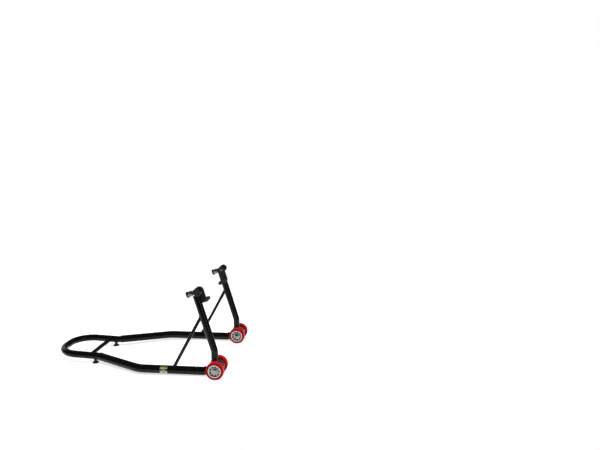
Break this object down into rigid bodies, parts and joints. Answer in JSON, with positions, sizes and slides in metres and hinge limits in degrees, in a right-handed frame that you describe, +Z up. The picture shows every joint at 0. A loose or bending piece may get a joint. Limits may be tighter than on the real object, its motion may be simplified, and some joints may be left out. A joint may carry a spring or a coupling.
{
  "type": "motorcycle paddock stand",
  "caption": "Rear paddock stand: bent black tube frame on twin red wheels with a U-shaped lever handle and sliding, swivelling L brackets that lift a motorcycle by its swingarm.",
  "frame": {"origin": "on the floor, at the middle of the stand's footprint", "axes": "+X towards the motorcycle's front, from the handle to the wheels; +Y towards its left side; +Z up"},
  "size_m": [0.8134, 0.5262, 0.377],
  "materials": {
    "black_paint": "semi-gloss powder coat",
    "black_rubber": "matt moulded rubber",
    "black_plastic": "satin moulded plastic",
    "red_tyre": "satin red polyurethane tread",
    "aluminium": "turned and lightly blasted",
    "zinc": "bright zinc plate",
    "steel": "ground",
    "brass": "turned",
    "label_film": "plain printed film, no text"
  },
  "bodies": {
    "frame": {"side_tube_right": "black_paint", "upright_right": "black_paint", "brace_right": "black_paint", "foot_stem_right": "black_paint", "foot_pad_right": "black_rubber", "side_tube_left": "black_paint", "upright_left": "black_paint", "brace_left": "black_paint", "foot_stem_left": "black_paint", "foot_pad_left": "black_rubber", "handle_tube": "black_paint", "cross_tube": "black_paint", "label_band": "label_film", "axle_boss_right": "black_paint", "axle_bolt_right": "zinc", "axle_nut_right": "zinc", "axle_spacer_right_outer": "zinc", "axle_spacer_right_inner": "zinc", "axle_boss_left": "black_paint", "axle_bolt_left": "zinc", "axle_nut_left": "zinc", "axle_spacer_left_outer": "zinc", "axle_spacer_left_inner": "zinc", "arm_sleeve_right": "black_paint", "sleeve_plug_right": "black_plastic", "lock_nut_right": "zinc", "arm_sleeve_left": "black_paint", "sleeve_plug_left": "black_plastic", "lock_nut_left": "zinc"},
    "wheel_right_outer": {"tyre_right_outer": "red_tyre", "hub_right_outer": "aluminium", "bearing_right_outer_a": "steel", "bearing_right_outer_b": "steel"},
    "wheel_right_inner": {"tyre_right_inner": "red_tyre", "hub_right_inner": "aluminium", "bearing_right_inner_a": "steel", "bearing_right_inner_b": "steel"},
    "arm_right": {"arm_rod_right": "steel"},
    "bracket_right": {"bracket_plate_right": "black_paint", "bracket_boot_right": "black_rubber", "bracket_bolt_right": "zinc"},
    "lock_point_right": {"lock_tip_right": "brass"},
    "lock_screw_right": {"lock_screw_right": "zinc", "lock_knob_right": "black_plastic"},
    "wheel_left_outer": {"tyre_left_outer": "red_tyre", "hub_left_outer": "aluminium", "bearing_left_outer_a": "steel", "bearing_left_outer_b": "steel"},
    "wheel_left_inner": {"tyre_left_inner": "red_tyre", "hub_left_inner": "aluminium", "bearing_left_inner_a": "steel", "bearing_left_inner_b": "steel"},
    "arm_left": {"arm_rod_left": "steel"},
    "bracket_left": {"bracket_plate_left": "black_paint", "bracket_boot_left": "black_rubber", "bracket_bolt_left": "zinc"},
    "lock_point_left": {"lock_tip_left": "brass"},
    "lock_screw_left": {"lock_screw_left": "zinc", "lock_knob_left": "black_plastic"}
  },
  "joints": [
    {"name": "wheel_spin_right_outer", "type": "hinge", "parent": "frame", "child": "wheel_right_outer", "pos_m": [0.36917, -0.2475, 0.0375], "axis": [0, 1, 0], "continuous": true},
    {"name": "wheel_spin_right_inner", "type": "hinge", "parent": "frame", "child": "wheel_right_inner", "pos_m": [0.36917, -0.1775, 0.0375], "axis": [0, 1, 0], "continuous": true},
    {"name": "arm_slide_right", "type": "slide", "parent": "frame", "child": "arm_right", "axis": [0, 1, 0], "range_m": [0, 0.014]},
    {"name": "bracket_swivel_right", "type": "hinge", "parent": "arm_right", "child": "bracket_right", "pos_m": [0.30117, -0.187, 0.361], "axis": [0, 1, 0], "range_deg": [-25, 25]},
    {"name": "lock_travel_right", "type": "slide", "parent": "frame", "child": "lock_point_right", "axis": [-0.9336, 0, -0.3584], "range_m": [0, 0.0045]},
    {"name": "lock_turn_right", "type": "hinge", "parent": "lock_point_right", "child": "lock_screw_right", "pos_m": [0.30117, -0.206, 0.361], "axis": [-0.9336, 0, -0.3584], "range_deg": [0, 1081]},
    {"name": "wheel_spin_left_outer", "type": "hinge", "parent": "frame", "child": "wheel_left_outer", "pos_m": [0.36917, 0.2475, 0.0375], "axis": [0, 1, 0], "continuous": true},
    {"name": "wheel_spin_left_inner", "type": "hinge", "parent": "frame", "child": "wheel_left_inner", "pos_m": [0.36917, 0.1775, 0.0375], "axis": [0, 1, 0], "continuous": true},
    {"name": "arm_slide_left", "type": "slide", "parent": "frame", "child": "arm_left", "axis": [0, -1, 0], "range_m": [0, 0.014]},
    {"name": "bracket_swivel_left", "type": "hinge", "parent": "arm_left", "child": "bracket_left", "pos_m": [0.30117, 0.187, 0.361], "axis": [0, 1, 0], "range_deg": [-25, 25]},
    {"name": "lock_travel_left", "type": "slide", "parent": "frame", "child": "lock_point_left", "axis": [-0.9336, 0, -0.3584], "range_m": [0, 0.0045]},
    {"name": "lock_turn_left", "type": "hinge", "parent": "lock_point_left", "child": "lock_screw_left", "pos_m": [0.30117, 0.206, 0.361], "axis": [-0.9336, 0, -0.3584], "range_deg": [0, 1081]}
  ],
  "couplings": [
    {"joint": "lock_turn_right", "follows": "lock_travel_right", "rad_per_m": 4188.8},
    {"joint": "lock_turn_left", "follows": "lock_travel_left", "rad_per_m": 4188.8}
  ]
}
